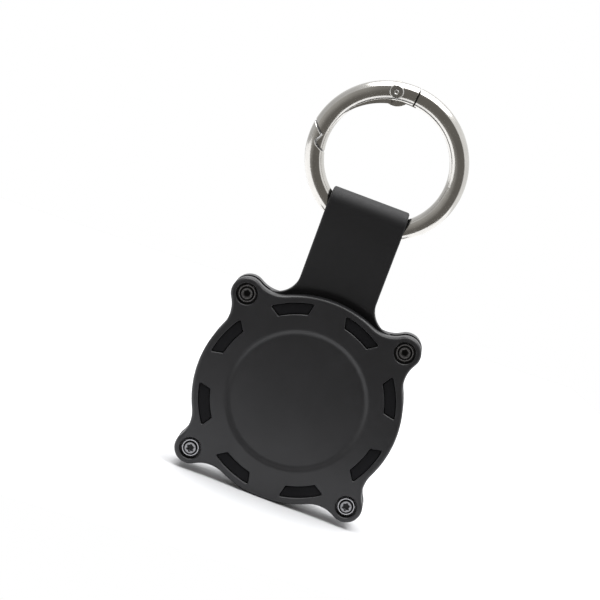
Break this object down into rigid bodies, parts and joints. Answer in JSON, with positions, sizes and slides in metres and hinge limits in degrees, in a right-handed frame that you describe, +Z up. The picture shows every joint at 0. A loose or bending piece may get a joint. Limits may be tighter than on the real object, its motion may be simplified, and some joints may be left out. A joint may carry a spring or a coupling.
{
  "type": "bluetooth tracker tag",
  "caption": "Round tracker in a screwed two-part case with four corner ears, on a moulded rubber strap looped round a spring-gate ring.",
  "frame": {"origin": "centre of the ring, which the tag hangs from", "axes": "+Z up, the case hangs below along -Z; the front face looks along -Y; +X to the right seen from the front"},
  "size_m": [0.0452, 0.0164, 0.0937],
  "materials": {
    "ring_steel": "polished nickel plating on steel",
    "pin_steel": "polished rivet",
    "spring_steel": "drawn spring wire",
    "strap_rubber": "matte silicone rubber",
    "liner_rubber": "matte silicone rubber",
    "cover_plastic": "satin, finely textured",
    "seal_rubber": "nitrile rubber",
    "screw_steel": "black oxide",
    "insert_brass": "machined brass",
    "foam": "closed-cell foam",
    "tracker_plastic": "moulded polycarbonate",
    "door_steel": "brushed stainless steel",
    "cell_steel": "nickel-plated can",
    "tray_plastic": "moulded plastic",
    "contact_metal": "gold-plated spring bronze",
    "board_laminate": "soldermask on glass epoxy",
    "shield_tin": "tinned steel",
    "chip_resin": "moulding resin",
    "passive_ceramic": "ceramic",
    "antenna_copper": "copper",
    "magnet_plating": "nickel-plated magnet"
  },
  "bodies": {
    "ring": {"ring_hoop": "ring_steel"},
    "gate": {"gate_arm": "ring_steel", "gate_pin": "pin_steel", "gate_spring": "spring_steel"},
    "loop": {"strap_loop": "strap_rubber"},
    "web": {"strap_web": "strap_rubber"},
    "case": {"strap_root": "strap_rubber", "liner": "liner_rubber", "front_cover": "cover_plastic", "back_cover": "cover_plastic", "back_seal": "seal_rubber", "door_seal": "seal_rubber", "cover_screws": "screw_steel", "threaded_inserts": "insert_brass", "foam_pad": "foam", "tracker_front_shell": "tracker_plastic", "tracker_rear_ring": "tracker_plastic", "battery_door": "door_steel", "coin_cell": "cell_steel", "battery_tray": "tray_plastic", "negative_contact": "contact_metal", "positive_contact": "contact_metal", "circuit_board": "board_laminate", "radio_shield": "shield_tin", "radio_chip": "chip_resin", "motion_sensor": "chip_resin", "memory_chip": "chip_resin", "clock_crystal": "shield_tin", "board_passives": "passive_ceramic", "radio_antenna": "antenna_copper", "sounder_magnet": "magnet_plating", "sounder_coil": "antenna_copper", "near_field_coil": "antenna_copper"}
  },
  "joints": [
    {"name": "gate_hinge", "type": "hinge", "parent": "ring", "child": "gate", "pos_m": [-0.00305, -0.00265, 0.01502], "axis": [0, -0.9848, -0.1736], "range_deg": [0, 25], "stiffness_Nm_per_rad": 0.05, "springref_deg": -17.19},
    {"name": "loop_slide", "type": "hinge", "parent": "ring", "child": "loop", "pos_m": [0, 0, 0], "axis": [0, -0.9848, -0.1736], "range_deg": [-25, 100]},
    {"name": "strap_upper_bend", "type": "hinge", "parent": "loop", "child": "web", "pos_m": [0, 0.00241, -0.02126], "axis": [1, 0, 0], "range_deg": [-60, 60], "stiffness_Nm_per_rad": 0.02},
    {"name": "strap_lower_bend", "type": "hinge", "parent": "web", "child": "case", "pos_m": [0, 0.00241, -0.02793], "axis": [1, 0, 0], "range_deg": [-60, 60], "stiffness_Nm_per_rad": 0.02}
  ]
}
